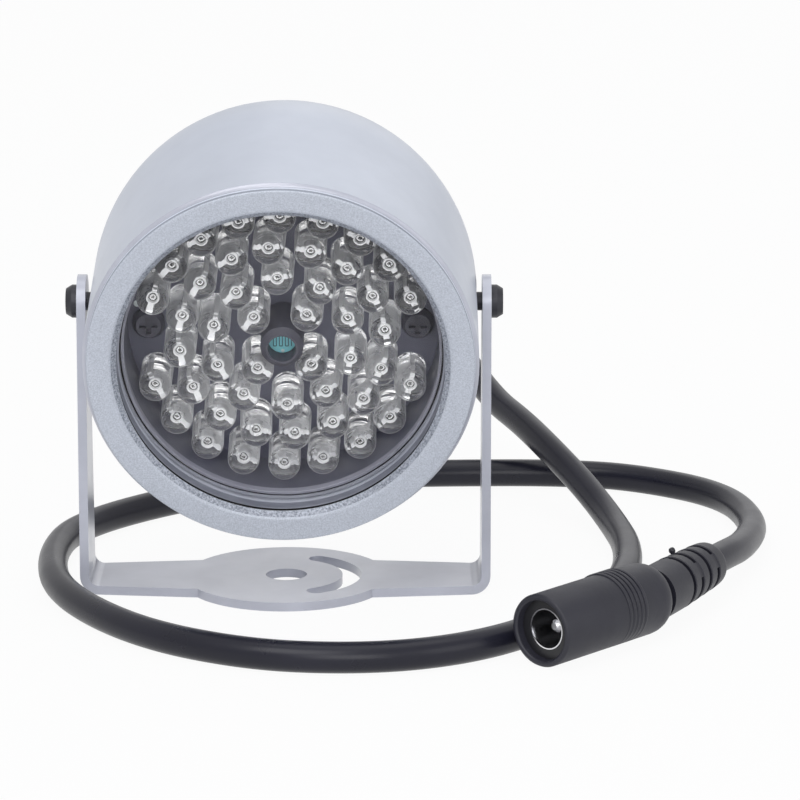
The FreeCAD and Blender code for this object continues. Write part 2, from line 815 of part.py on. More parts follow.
def make_sensor():
    """Photocell on two legs, deep inside a black sleeve with a lip, which stands on the board."""
    mouth = f"({WINDOW_BACK} - size.sleeve_window_gap)"
    face = f"({mouth} - size.sensor_depth)"
    back = f"({face} - size.sensor_thickness)"
    sensor = turned_piece("light_sensor", disc("0", "size.sensor_radius", back, face))
    place_in_head(sensor)
    legs = new_sketch(sensor, "legs", "XY_Plane", BOARD_FRONT)
    for side in ("-", ""):
        circle(legs, f"{side}size.sensor_leg_offset", "0", "size.sensor_leg_radius")
    add_feature(sensor, "Pad", legs, f"{back} - {BOARD_FRONT}")
    sleeve = turned_piece("sensor_sleeve", [
        ("size.sleeve_radius - size.sleeve_wall", BOARD_FRONT),
        ("size.sleeve_radius - size.sleeve_wall", f"{mouth} - size.sleeve_lip_length"),
        ("size.sleeve_lip_radius", f"{mouth} - size.sleeve_lip_length"),
        ("size.sleeve_lip_radius", mouth),
        ("size.sleeve_radius - size.sleeve_edge", mouth),
        ("size.sleeve_radius", f"{mouth} - size.sleeve_edge"),
        ("size.sleeve_radius", BOARD_FRONT),
    ])
    place_in_head(sleeve)


# Back of the board


def head_placement():
    """The head's frame, for pieces made directly."""
    return FreeCAD.Placement(
        FreeCAD.Vector(0, 0, number("size.pivot_height")),
        FreeCAD.Rotation(FreeCAD.Vector(1, 0, 0), number("90 + size.head_tilt")),
    )


def make_resistors():
    """Flat chip resistors in a circle on the back of the board."""
    length, width = number("size.resistor_length"), number("size.resistor_width")
    thickness = number("size.resistor_thickness")
    count = int(number("size.resistor_count"))
    chips = []
    for index in range(count):
        chip = Part.makeBox(length, width, thickness)
        chip.translate(FreeCAD.Vector(
            number("size.resistor_circle") - length / 2, -width / 2, number(BOARD_BACK) - thickness))
        chip.rotate(FreeCAD.Vector(), FreeCAD.Vector(0, 0, 1), (index + 0.5) * 360 / count)
        chips.append(chip)
    plain_shape("board_resistors", Part.Compound(chips), head_placement())


def make_transistor():
    """Switching transistor: half-round body against the back of the board."""
    body = new_body("switching_transistor")
    place_in_head(body)
    half, depth = "size.transistor_width / 2", "size.transistor_depth"
    base = "size.transistor_offset"
    section = new_sketch(body, "section", "XY_Plane", BOARD_BACK)
    outline(section, [
        (f"-{half}", base),
        (half, base),
        (half, f"{base} + {depth} - {half}"),
        (f"-{half}", f"{base} + {depth} - {half}"),
    ], {2: ("0", f"{base} + {depth} - {half}", "y", 1)})
    add_feature(body, "Pad", section, "size.transistor_height", reverse=True)


def make_lead_wires():
    """Two insulated wires from the end of the cord to the back of the board."""
    for name, side in (("lead_wire_positive", ""), ("lead_wire_negative", "-")):
        wire = new_body(name)
        place_in_head(wire)
        section = new_sketch(wire, "section", "XY_Plane", CORD_START)
        circle(section, f"{side}size.wire_offset", "0", "size.wire_radius")
        add_feature(wire, "Pad", section, f"{BOARD_BACK} - {CORD_START}")


# Grommet and cord


def make_grommet():
    """Rubber grommet: flanges each side of the wall and a tapering tail round the cord."""
    hole = "(size.cord_radius + size.cord_clearance)"
    outside = f"({DOME_BACK} - size.grommet_flange_thickness)"
    grommet = turned_piece("cable_grommet", [
        (hole, GROMMET_TIP),
        ("size.grommet_tip_radius", GROMMET_TIP),
        ("size.grommet_root_radius", outside),
        ("size.grommet_flange_radius", outside),
        ("size.grommet_flange_radius", DOME_BACK),
        ("size.grommet_neck_radius", DOME_BACK),
        ("size.grommet_neck_radius", CAVITY_FLOOR),
        ("size.grommet_inner_radius", CAVITY_FLOOR),
        ("size.grommet_inner_radius", GROMMET_INNER_FACE),
        (hole, GROMMET_INNER_FACE),
    ])
    place_in_head(grommet)


def rounded_path(points):
    """Straight runs joined by tangent arcs, each taking nearly half of its shorter run."""
    arc_share = 0.45
    edges, radii = [], []
    at = points[0]
    for before, corner, after in zip(points, points[1:], points[2:]):
        back, ahead = (before - corner), (after - corner)
        shorter = min(back.Length, ahead.Length)
        back.normalize()
        ahead.normalize()
        turn = math.pi - back.getAngle(ahead)
        reach = arc_share * shorter
        radii.append(reach / math.tan(turn / 2))
        middle = back + ahead
        middle.normalize()
        inset = radii[-1] / math.cos(turn / 2) - radii[-1]
        first, last = corner + back * reach, corner + ahead * reach
        edges.append(Part.LineSegment(at, first).toShape())
        edges.append(Part.Arc(first, corner + middle * inset, last).toShape())
        at = last
    edges.append(Part.LineSegment(at, points[-1]).toShape())
    return Part.Wire(edges), radii


def tube(points, radius):
    """Round tube along a rounded path, with its length and its radii."""
    path, radii = rounded_path(points)
    start = points[1] - points[0]
    section = Part.Wire(Part.Circle(points[0], start, radius).toShape())
    return path.makePipeShell([section], True, False), path.Length, radii


def cord_route():
    """Points of the cord: out of the head, down to the floor, round the bracket to the socket."""
    frame = head_placement()
    floor = number("size.cord_radius")
    relief = relief_placement()
    tail = relief.multVec(FreeCAD.Vector(0, 0, number("size.relief_length - size.cord_socket_depth")))
    leaving = [
        frame.multVec(FreeCAD.Vector(0, 0, number(CORD_START))),
        frame.multVec(FreeCAD.Vector(0, 0, number(f"{GROMMET_TIP} - size.cord_exit_run"))),
    ]
    hanging = [
        (0.3, 68.6, 60),
        (6.7, 85, 51.6),
        (16.7, 91.1, 36),
        (26.7, 84.3, 20.9),
        (34, 68, 13.8),
        (39, 58, 12),
        (43.6, 47.8, 9.6),
        (49, 38.2, 5.8),
    ]
    ground = [
        (53.3, 27),
        (55, 11),
        (53.2, -7),
        (46.2, -21.6),
        (35.8, -36.8),
        (24, -45.2),
        (10.7, -48.2),
        (-4.8, -46),
        (-21.7, -34.8),
        (-35, -13.8),
        (-38.2, 7.5),
        (-35.2, 26.1),
        (-17, 45.6),
        (8.2, 59),
        (30, 60.3),
        (45, 60.3),
        (58, 57.6),
        (72.9, 45.6),
        (76.8, 27),
    ]
    rising = [
        (73.2, 8, 3.9),
        tuple(relief.multVec(FreeCAD.Vector(0, 0, number("size.relief_length + size.cord_socket_run")))),
    ]
    points = leaving + [FreeCAD.Vector(*point) for point in hanging]
    points += [FreeCAD.Vector(x, y, floor) for x, y in ground]
    return points + [FreeCAD.Vector(*point) for point in rising] + [tail]


def make_cord():
    """The whole cord as one tube."""
    shape, length, radii = tube(cord_route(), number("size.cord_radius"))
    area = math.pi * number("size.cord_radius") ** 2
    print("cord length", round(length, 1), "volume share", round(shape.Volume / (area * length), 4))
    print("cord radii", [round(radius, 1) for radius in radii])
    plain_shape("power_cord", shape)


# In-line socket


def make_socket_body():
    """Moulded barrel with its shoulder, and the strain relief that leaves it at an angle."""
    bore_end = "size.insert_length + size.insert_recess"
    barrel = turned_form("socket_barrel", [
        ("size.insert_radius", "0"),
        ("size.socket_radius - size.socket_bevel", "0"),
        ("size.socket_radius", "size.socket_bevel"),
        ("size.socket_radius", "size.barrel_length"),
        ("size.shoulder_radius", "size.barrel_length + size.shoulder_length"),
        ("size.shoulder_tip_radius", "size.barrel_length + size.shoulder_tip_length"),
        ("0", "size.barrel_length + size.shoulder_tip_length"),
        ("0", bore_end),
        ("size.insert_radius", bore_end),
    ])
    place_socket(barrel)
    socket = doc.addObject("Part::Fuse", "socket_body")
    socket.Label = "socket_body"
    socket.Base = barrel
    socket.Tool = make_relief()
    nodes.append(socket)


def make_relief():
    """Neck and slotted strain relief, bored for the cord."""
    hole = "(size.cord_radius + size.cord_clearance)"
    cord_end = "size.relief_length - size.cord_socket_depth"
    relief = turned_form("socket_relief", [
        ("0", "0"),
        ("size.neck_radius", "0"),
        ("size.neck_radius", "size.neck_length"),
        ("size.relief_tip_radius", "size.relief_length"),
        (hole, "size.relief_length"),
        (hole, cord_end),
        ("0", cord_end),
    ])
    place_relief(relief)
    for index in range(int(number("size.relief_slot_rows"))):
        plane = "YZ_Plane" if index % 2 == 0 else "XZ_Plane"
        low = f"size.relief_first_slot + {index} * size.relief_slot_pitch"
        for side in ("", "-"):
            slot = new_sketch(relief, f"slot_{index}_{'far' if side else 'near'}", plane)
            rectangle(slot, (f"{side}size.relief_core_radius", low),
                      (f"{side}size.socket_radius", f"{low} + size.relief_slot_width"))
            cut = turn_about_axis(relief, "Groove", slot, number("size.relief_slot_angle"))
            cut.setExpression("Angle", "size.relief_slot_angle")
    return relief


def make_socket_core():
    """Core with its bore, the contact sleeve in the bore and the pin in the middle."""
    front = "size.insert_recess"
    floor = f"({front} + size.socket_bore_depth)"
    back = f"({front} + size.insert_length)"
    core = turned_piece("socket_insert", [
        ("size.socket_bore_radius", front),
        ("size.insert_radius", front),
        ("size.insert_radius", back),
        ("0", back),
        ("0", floor),
        ("size.socket_bore_radius", floor),
    ])
    sleeve = turned_piece("socket_contact_sleeve", disc(
        "size.socket_bore_radius - size.contact_wall", "size.socket_bore_radius", front, floor))
    pin_tip = "size.pin_recess"
    pin = turned_piece("socket_pin", [
        ("0", pin_tip),
        ("size.pin_tip_radius", pin_tip),
        ("size.pin_radius", f"{pin_tip} + size.pin_radius - size.pin_tip_radius"),
        ("size.pin_radius", floor),
        ("0", floor),
    ])
    for piece in (core, sleeve, pin):
        place_socket(piece)


# Checks and export


def check_objects():
    """Stop if any object failed or any node has no valid solid."""
    for thing in doc.Objects:
        if "Invalid" in thing.State or "Error" in thing.State:
            raise RuntimeError(f"{thing.Name} failed: {thing.State}")
    for node in nodes:
        shape = node.Shape
        if shape.isNull() or not shape.isValid() or not shape.Solids:
            raise RuntimeError(f"{node.Label} has no valid solid")


def export_nodes():
    """One STEP file for each node, named by its label."""
    os.makedirs("parts", exist_ok=True)
    for node in nodes:
        node.Shape.exportStep(os.path.join("parts", f"{node.Label}.step"))
        print(node.Label, len(node.Shape.Solids), "solids", round(node.Shape.Volume, 1), "mm3")


make_bracket()
make_housing()
make_bezel_ring()
make_window_stack()
make_led_board()
make_leds()
make_sensor()
make_screws()
make_resistors()
make_transistor()
make_lead_wires()
make_grommet()
make_cord()
make_socket_body()
make_socket_core()
doc.recompute()
check_objects()
export_nodes()
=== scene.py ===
import json
import math
import random

import bpy
from mathutils import Matrix, Vector


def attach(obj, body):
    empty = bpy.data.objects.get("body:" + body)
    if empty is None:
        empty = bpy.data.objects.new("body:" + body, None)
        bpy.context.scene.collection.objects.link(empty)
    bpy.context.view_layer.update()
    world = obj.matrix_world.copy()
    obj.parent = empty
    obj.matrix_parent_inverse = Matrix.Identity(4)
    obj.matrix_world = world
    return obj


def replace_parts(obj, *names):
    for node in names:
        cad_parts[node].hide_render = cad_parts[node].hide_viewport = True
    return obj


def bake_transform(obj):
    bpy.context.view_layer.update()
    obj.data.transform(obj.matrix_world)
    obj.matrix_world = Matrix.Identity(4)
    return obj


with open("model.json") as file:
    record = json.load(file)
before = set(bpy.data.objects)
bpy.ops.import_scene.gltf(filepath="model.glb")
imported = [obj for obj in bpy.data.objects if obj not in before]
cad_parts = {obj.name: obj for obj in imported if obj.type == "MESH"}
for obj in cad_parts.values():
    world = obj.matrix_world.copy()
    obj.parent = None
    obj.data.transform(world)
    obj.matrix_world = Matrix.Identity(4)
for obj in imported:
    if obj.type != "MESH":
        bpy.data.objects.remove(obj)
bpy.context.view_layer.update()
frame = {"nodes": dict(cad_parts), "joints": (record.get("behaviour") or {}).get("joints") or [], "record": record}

# Infrared illuminator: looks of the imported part. Lengths are metres, and MM turns millimetres into them.

MM = 0.001

# Sizes and places that the source uses too

TILT = math.radians(13.2)
BOARD_FRONT = 6.8 * MM
LED_HEIGHT = 9.95 * MM
LED_STANDOFF = 0.6 * MM
# Radius of each circle and the angles of its diodes, in degrees
LED_ROWS = {
    "led_row_outer": (20.9 * MM, [side * (20.8 + 17.3 * k) for side in (1, -1) for k in range(9)]),
    "led_row_second": (15.8 * MM, [6.3 + 22.5 * k for k in range(16)]),
    "led_row_third": (10.75 * MM, [21 + 36 * k for k in range(10)]),
    "led_row_inner": (5.9 * MM, [48 + 90 * k for k in range(4)]),
}
SENSOR_FACE = 13.1 * MM
SENSOR_THICKNESS = 2.0 * MM
SENSOR_RADIUS = 2.5 * MM
SEAM = 22.5 * MM
RING_RADIUS = 29.35 * MM
RING_INNER = 24.85 * MM
SKIRT_OUTER = 27.4 * MM
SKIRT_INNER = 26.4 * MM
SKIRT_END = 12.8 * MM
WINDOW_FRONT = 19.9 * MM
WINDOW_BACK = 17.9 * MM
GASKET_BACK = 17.1 * MM
GASKET_INNER = 24.0 * MM
SOCKET_MOUTH = (0.03865, -0.0448, 0.00555)
SOCKET_HEADING = math.radians(47.1)
RELIEF_DISTANCE = 25.8 * MM
RELIEF_HEADING = math.radians(60.5)
RELIEF_ROLL = math.radians(-30)
RELIEF_LENGTH = 19.8 * MM
RELIEF_BORE = 6 * MM
NECK_LENGTH = 6 * MM
RELIEF_CORE_RADIUS = 2.8 * MM
FIRST_SLOT = 6.5 * MM
SLOT_ROWS = 4
SLOT_PITCH = 3.1 * MM
SLOT_WIDTH = 0.95 * MM
SLOT_ANGLE = math.radians(140)
CORD_RADIUS = 2.35 * MM
CORD_POINTS = [
    (0, 0.02727, 0.0521),
    (0, 0.04903, 0.0572),
    (0.0003, 0.0686, 0.06),
    (0.0067, 0.085, 0.0516),
    (0.0167, 0.0911, 0.036),
    (0.0267, 0.0843, 0.0209),
    (0.034, 0.068, 0.0138),
    (0.039, 0.058, 0.012),
    (0.0436, 0.0478, 0.0096),
    (0.049, 0.0382, 0.0058),
    (0.0533, 0.027, 0.00235),
    (0.055, 0.011, 0.00235),
    (0.0532, -0.007, 0.00235),
    (0.0462, -0.0216, 0.00235),
    (0.0358, -0.0368, 0.00235),
    (0.024, -0.0452, 0.00235),
    (0.0107, -0.0482, 0.00235),
    (-0.0048, -0.046, 0.00235),
    (-0.0217, -0.0348, 0.00235),
    (-0.035, -0.0138, 0.00235),
    (-0.0382, 0.0075, 0.00235),
    (-0.0352, 0.0261, 0.00235),
    (-0.017, 0.0456, 0.00235),
    (0.0082, 0.059, 0.00235),
    (0.03, 0.0603, 0.00235),
    (0.045, 0.0603, 0.00235),
    (0.058, 0.0576, 0.00235),
    (0.0729, 0.0456, 0.00235),
    (0.0768, 0.027, 0.00235),
    (0.0732, 0.008, 0.0039),
    (0.06842, -0.00432, 0.00555),
    (0.06301, -0.01389, 0.00555),
]

# Finer sizes that only the looks need, or that the source has a little smaller

LED_RADIUS = 2.48 * MM
NECK_RADIUS = 4.2 * MM
RELIEF_TIP_RADIUS = 3.65 * MM
FACE_INNER = 25.85 * MM
FACE_INNER_TOP = SEAM + 1.2 * MM
FACE_OUTER_TOP = SEAM + 1.6 * MM
FACE_ROUNDING = 0.3 * MM
BEVEL_FOOT = SEAM + 0.3 * MM
BEVEL_SKIN = 0.03 * MM
CREASE = RING_INNER + 0.35 * MM
CREASE_TOP = SEAM + 0.2 * MM
SEAT_TOP = SEAM - 0.45 * MM
NIB_DISTANCE = 11.3 * MM
# Sine and cosine of the angle by which the nib leans from upright
NIB_ACROSS, NIB_UP = 0.454, 0.891
# Where the first length of the cord, from the head, ends behind the pivot
FLEX_END = 0.066
# Segments round each form
RING_SEGMENTS = 256
SOCKET_SEGMENTS = 128
RELIEF_SEGMENTS = 144
LED_SEGMENTS = 40
FRAME_SEGMENTS = 24
CORD_SEGMENTS = 28


def level_frame(spot, heading):
    """Z along a level heading, X towards the floor."""
    along = Vector((math.cos(heading), math.sin(heading), 0))
    down = Vector((0, 0, -1))
    return Matrix.Translation(spot) @ Matrix((down, along.cross(down), along)).transposed().to_4x4()


PIVOT = Vector(frame["joints"][0]["pos_m"])
HEAD = Matrix.Translation(PIVOT) @ Matrix.Rotation(math.pi / 2 + TILT, 4, "X")
SOCKET = level_frame(SOCKET_MOUTH, SOCKET_HEADING)
RELIEF_ROOT = SOCKET @ Vector((0, 0, RELIEF_DISTANCE))
RELIEF = level_frame(RELIEF_ROOT, RELIEF_HEADING) @ Matrix.Rotation(RELIEF_ROLL, 4, "Z")


# Meshes


def in_mm(profile, base=0):
    """Pairs of radius and height in metres, from pairs in millimetres above a base in metres."""
    return [(radius * MM, base + height * MM) for radius, height in profile]


def turns_of(count):
    """Equal steps of angle round a circle."""
    return [2 * math.pi * step / count for step in range(count)]


class Shape:
    """Points and faces that several forms add to."""

    def __init__(self):
        self.points = []
        self.faces = []

    def add(self, points, faces, place=None):
        start = len(self.points)
        self.points += [place @ Vector(point) if place else Vector(point) for point in points]
        self.faces += [tuple(start + corner for corner in face) for face in faces]

    def skin(self, rings, place=None, closed=False):
        """Join rings of points, each to the next. A ring of one point closes that end."""
        count = max(len(ring) for ring in rings)
        points, numbers, faces = [], [], []
        for ring in rings:
            numbers.append([len(points) + step % len(ring) for step in range(count)])
            points += ring
        following = numbers[1:] + (numbers[:1] if closed else [])
        for low, high in zip(numbers, following):
            for step in range(count):
                after = (step + 1) % count
                corners = (low[step], low[after], high[after], high[step])
                faces.append(tuple(dict.fromkeys(corners)))
        self.add(points, faces, place)

    def lathe(self, profile, segments, place, closed=False):
        """Turn pairs of radius and height about Z. A radius of 0 closes that end in a point."""
        turns = turns_of(segments)
        rings = []
        for radius, height in profile:
            if radius == 0:
                rings.append([(0, 0, height)])
            else:
                rings.append([(radius * math.cos(turn), radius * math.sin(turn), height) for turn in turns])
        self.skin(rings, place, closed)

    def block(self, low, high, place):
        """Box between two corners."""
        (x0, y0, z0), (x1, y1, z1) = low, high
        points = [(x, y, z) for z in (z0, z1) for x, y in ((x0, y0), (x1, y0), (x1, y1), (x0, y1))]
        faces = [(3, 2, 1, 0), (4, 5, 6, 7), (0, 1, 5, 4), (1, 2, 6, 5), (2, 3, 7, 6), (3, 0, 4, 7)]
        self.add(points, faces, place)


def piece(name, shape, body, slot, material=None, smooth_below=30):
    """A mesh piece that rides on a body. Edges sharper than an angle, in degrees, stay sharp."""
    mesh = bpy.data.meshes.new(name)
    mesh.from_pydata([tuple(point) for point in shape.points], [], shape.faces)
    mesh.validate()
    mesh.shade_smooth()
    mesh.set_sharp_from_angle(angle=math.radians(smooth_below))
    mesh.materials.append(materials[material or slot])
    thing = bpy.data.objects.new(name, mesh)
    bpy.context.scene.collection.objects.link(thing)
    if body is not None:
        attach(thing, body)
    return thing


def turned(name, section, slot, material=None):
    """A ring of the head, turned from a closed section."""
    ring = Shape()
    ring.lathe(section, RING_SEGMENTS, HEAD, closed=True)
    return piece(name, ring, "head", slot, material)


# Shader parts


def linear(red, green, blue):
    """Colour written as screen values from 0 to 255."""
    colour = []
    for value in (red / 255, green / 255, blue / 255):
        colour.append(value / 12.92 if value <= 0.04045 else ((value + 0.055) / 1.055) ** 2.4)
    return colour + [1]


def blank(name):
    """A new material with its tree and its surface shader."""
    material = bpy.data.materials.new(name)
    material.use_nodes = True
    tree = material.node_tree
    return material, tree, tree.nodes["Principled BSDF"]


def noise(tree, scale, detail=4, roughness=0.6):
    """Noise over the piece's own coordinates, in grains per metre."""
    place = tree.nodes.new("ShaderNodeTexCoord")
    grain = tree.nodes.new("ShaderNodeTexNoise")
    grain.inputs["Scale"].default_value = scale
    grain.inputs["Detail"].default_value = detail
    grain.inputs["Roughness"].default_value = roughness
    tree.links.new(place.outputs["Object"], grain.inputs["Vector"])
    return grain.outputs["Fac"]


def rings_along_axis(tree):
    """Uneven rings across the head's axis, as a mould leaves them."""
    place = tree.nodes.new("ShaderNodeTexCoord")
    turn = tree.nodes.new("ShaderNodeMapping")
    turn.inputs["Rotation"].default_value = (-TILT, 0, 0)
    wave = tree.nodes.new("ShaderNodeTexWave")
    wave.bands_direction = "Y"
    wave.inputs["Scale"].default_value = 480
    wave.inputs["Distortion"].default_value = 3
    wave.inputs["Detail"].default_value = 2
    tree.links.new(place.outputs["Object"], turn.inputs["Vector"])
    tree.links.new(turn.outputs["Vector"], wave.inputs["Vector"])
    return wave.outputs["Fac"]


def spread_colour(tree, shader, factor, dark, light):
    """Base colour that wanders between two shades."""
    ramp = tree.nodes.new("ShaderNodeValToRGB")
    ramp.color_ramp.elements[0].position = 0.35
    ramp.color_ramp.elements[0].color = linear(*dark)
    ramp.color_ramp.elements[1].position = 0.65
    ramp.color_ramp.elements[1].color = linear(*light)
    tree.links.new(factor, ramp.inputs["Fac"])
    tree.links.new(ramp.outputs["Color"], shader.inputs["Base Color"])


def spread_roughness(tree, shader, factor, low, high):
    """Roughness that wanders between two values."""
    span = tree.nodes.new("ShaderNodeMapRange")
    span.inputs["From Min"].default_value = 0.3
    span.inputs["From Max"].default_value = 0.7
    span.inputs["To Min"].default_value = low
    span.inputs["To Max"].default_value = high
    tree.links.new(factor, span.inputs["Value"])
    tree.links.new(span.outputs["Result"], shader.inputs["Roughness"])


def bump(tree, shader, height, distance):
    """Raise the surface by a height from 0 to 1 times a distance in millimetres."""
    relief = tree.nodes.new("ShaderNodeBump")
    relief.inputs["Strength"].default_value = 1
    relief.inputs["Distance"].default_value = distance * MM
    tree.links.new(height, relief.inputs["Height"])
    tree.links.new(relief.outputs["Normal"], shader.inputs["Normal"])


def combine(tree, operation, first, second):
    """A value from two, by one operation. The first is a socket, and the second a socket or a number."""
    node = tree.nodes.new("ShaderNodeMath")
    node.operation = operation
    tree.links.new(first, node.inputs[0])
    if isinstance(second, bpy.types.NodeSocket):
        tree.links.new(second, node.inputs[1])
    else:
        node.inputs[1].default_value = second
    return node.outputs[0]


def mixed(tree, share, first, second):
    """Two shaders mixed by the share of the second."""
    mix = tree.nodes.new("ShaderNodeMixShader")
    for source, target in zip((share, first, second), mix.inputs):
        tree.links.new(source, target)
    return mix.outputs[0]


# Materials


def grained(dark, light, rough, grain, depth, metallic=0, patches=60, specular=0.5, coat=0):
    """Surface with slow patches of shade and a fine grain in relief, whose depth is in millimetres."""
    material, tree, shader = blank("grained")
    spread_colour(tree, shader, noise(tree, patches), dark, light)
    spread_roughness(tree, shader, noise(tree, patches * 3), *rough)
    bump(tree, shader, noise(tree, grain), depth)
    shader.inputs["Metallic"].default_value = metallic
    shader.inputs["Specular IOR Level"].default_value = specular
    shader.inputs["Coat Weight"].default_value = coat
    shader.inputs["Coat Roughness"].default_value = 0.22
    return material


def blasted(dark, light, grain):
    """Fine blasted silver of the ring: speckled grains, each a little lighter or darker."""
    material, tree, shader = blank("blasted")
    spread_colour(tree, shader, noise(tree, grain, 2, 0.7), dark, light)
    spread_roughness(tree, shader, noise(tree, 900), 0.38, 0.5)
    bump(tree, shader, noise(tree, 4200, 3, 0.7), 0.02)
    shader.inputs["Metallic"].default_value = 0.2
    return material


def clear(ior, edge=0, ripple=0):
    """Clear solid that refracts what is behind it and lets the lamps' light in.

    It whitens towards its edges by a share, a painted sheen of white diffuse, and has moulding rings of a depth in
    millimetres.
    """
    material, tree, shader = blank("clear")
    spread_roughness(tree, shader, noise(tree, 400), 0, 0.02)
    shader.inputs["Base Color"].default_value = (1, 1, 1, 1)
    shader.inputs["Transmission Weight"].default_value = 1
    shader.inputs["IOR"].default_value = ior
    if ripple:
        bump(tree, shader, rings_along_axis(tree), ripple)
    # Painted sheen: white diffuse mixed in towards the edges, where bright outlines of reflection fall
    edge_sheen = tree.nodes.new("ShaderNodeBsdfDiffuse")
    edge_sheen.inputs["Color"].default_value = (0.9, 0.91, 0.93, 1)
    facing = tree.nodes.new("ShaderNodeLayerWeight")
    rim = combine(tree, "POWER", facing.outputs["Facing"], 4.5)
    sheened = mixed(tree, combine(tree, "MULTIPLY", rim, edge), shader.outputs[0], edge_sheen.outputs[0])
    through = tree.nodes.new("ShaderNodeBsdfTransparent")
    through.inputs["Color"].default_value = (1, 1, 1, 1)
    path = tree.nodes.new("ShaderNodeLightPath")
    surface = mixed(tree, path.outputs["Is Shadow Ray"], sheened, through.outputs[0])
    tree.links.new(surface, tree.nodes["Material Output"].inputs["Surface"])
    return material


def make_materials():
    """One material for each slot of the record, and those of the finer pieces.

    Colours are screen values. After them come the span of roughness, the grains per metre and their depth.
    """
    made = {
        "bracket_paint": grained((176, 178, 190), (190, 192, 204), (0.28, 0.38), 3000, 0.01,
                                 metallic=0.15, specular=0.7, coat=0.6),
        "housing_paint": grained((191, 196, 208), (198, 203, 215), (0.4, 0.46), 1500, 0.006,
                                 metallic=0.1, coat=0.25),
        "ring_metal": blasted((177, 182, 193), (203, 208, 219), 4600),
        "bevel_metal": blasted((116, 121, 132), (186, 191, 203), 3000),
        # Painted highlight: the bright line where the ring's rounded edge catches the light
        "painted_highlight_metal": grained((212, 217, 228), (228, 233, 243), (0.3, 0.4), 4000, 0.005),
        # Painted shade: the darker band beside the bright line on the ring's side
        "painted_shade_band": grained((138, 143, 155), (154, 159, 171), (0.4, 0.5), 4000, 0.01),
        # Painted shade: a darker copy of the ring's metal for the wall below the bevel
        "painted_shade_seat_metal": grained((126, 129, 142), (142, 145, 158), (0.35, 0.45), 3000, 0.01, metallic=0.2),
        # Painted light: a lighter grey where light falls on the front of the dark spacer and gasket
        "painted_light_rim": grained((128, 129, 141), (142, 143, 156), (0.35, 0.45), 2500, 0.01),
        "window_glass": clear(1.2),
        # Painted highlight: light grey for the bright lines of the washer's ridges and the window bead
        "painted_highlight_grey": grained((148, 151, 163), (164, 167, 179), (0.35, 0.45), 2500, 0.01),
        "gasket_rubber": grained((18, 18, 20), (28, 28, 31), (0.6, 0.75), 2000, 0.02),
        "black_plastic": grained((78, 79, 92), (90, 91, 104), (0.35, 0.5), 1800, 0.01),
        "board_laminate": grained((84, 85, 100), (98, 99, 115), (0.4, 0.5), 3000, 0.01),
        # Clear resin with a painted sheen towards its edges
        "diode_resin": clear(1.5, edge=1, ripple=0.02),
        "diode_metal": grained((240, 241, 244), (252, 253, 255), (0.2, 0.35), 5000, 0.003, metallic=0.5),
        "diode_chip": grained((34, 34, 38), (52, 52, 57), (0.2, 0.3), 8000, 0.002),
        "sensor_ceramic": grained((140, 215, 225), (160, 235, 245), (0.3, 0.4), 3000, 0.01),
        "sensor_track": grained((50, 92, 102), (62, 108, 118), (0.35, 0.45), 3000, 0.005),
        "solder": grained((212, 226, 226), (236, 244, 244), (0.25, 0.35), 3000, 0.01),
        "sleeve_plastic": grained((62, 62, 73), (74, 74, 86), (0.5, 0.65), 2000, 0.01),
        "black_screw": grained((42, 42, 48), (56, 56, 62), (0.3, 0.45), 2500, 0.02, metallic=0.4),
        "screw_grey": grained((62, 62, 73), (76, 76, 88), (0.4, 0.5), 2500, 0.01),
        "resistor_body": grained((24, 24, 26), (36, 36, 38), (0.25, 0.35), 3000, 0.01),
        "transistor_body": grained((28, 28, 30), (38, 38, 40), (0.55, 0.7), 3000, 0.01),
        "red_insulation": grained((150, 24, 20), (170, 32, 26), (0.35, 0.45), 2000, 0.01),
        "black_insulation": grained((26, 26, 28), (34, 34, 36), (0.35, 0.45), 2000, 0.01),
        "grommet_rubber": grained((36, 36, 40), (48, 48, 53), (0.5, 0.6), 1600, 0.02),
        "cord_jacket": grained((26, 26, 37), (33, 33, 45), (0.26, 0.34), 1400, 0.01,
                               patches=40, specular=0.32),
        "socket_moulding": grained((28, 28, 38), (37, 37, 48), (0.42, 0.55), 2200, 0.02),
        "socket_core": grained((24, 24, 27), (32, 32, 36), (0.3, 0.4), 2200, 0.01),
        "contact_metal": grained((205, 205, 208), (235, 235, 238), (0.15, 0.25), 4000, 0.004, metallic=1),
    }
    for name, material in made.items():
        material.name = name
    return made


def dress_nodes():
    """Give each CAD node the material of its slot, and the screws of the board one of their own."""
    for row in frame["record"]["subparts"]:
        mesh = frame["nodes"][row["node"]].data
        mesh.materials.clear()
        name = "screw_grey" if row["node"].startswith("board_screw") else row["material_slot"]
        mesh.materials.append(materials[name])


# Diodes


def led_place(radius, angle, chance):
    """Frame of one diode: Z from the board to its tip, X along its circle, clockwise."""
    turn = Matrix.Rotation(math.radians(angle), 4, "Z")
    spot = Matrix.Translation((radius, 0, BOARD_FRONT)) @ Matrix.Rotation(-math.pi / 2, 4, "Z")
    lean = Matrix.Rotation(math.radians(chance.uniform(-1.8, 1.8)), 4, "Y")
    nod = Matrix.Rotation(math.radians(chance.uniform(-0.4, 0.4)), 4, "X")
    twist = Matrix.Rotation(math.radians(chance.uniform(-9, 9)), 4, "Z")
    return HEAD @ turn @ spot @ lean @ nod @ twist


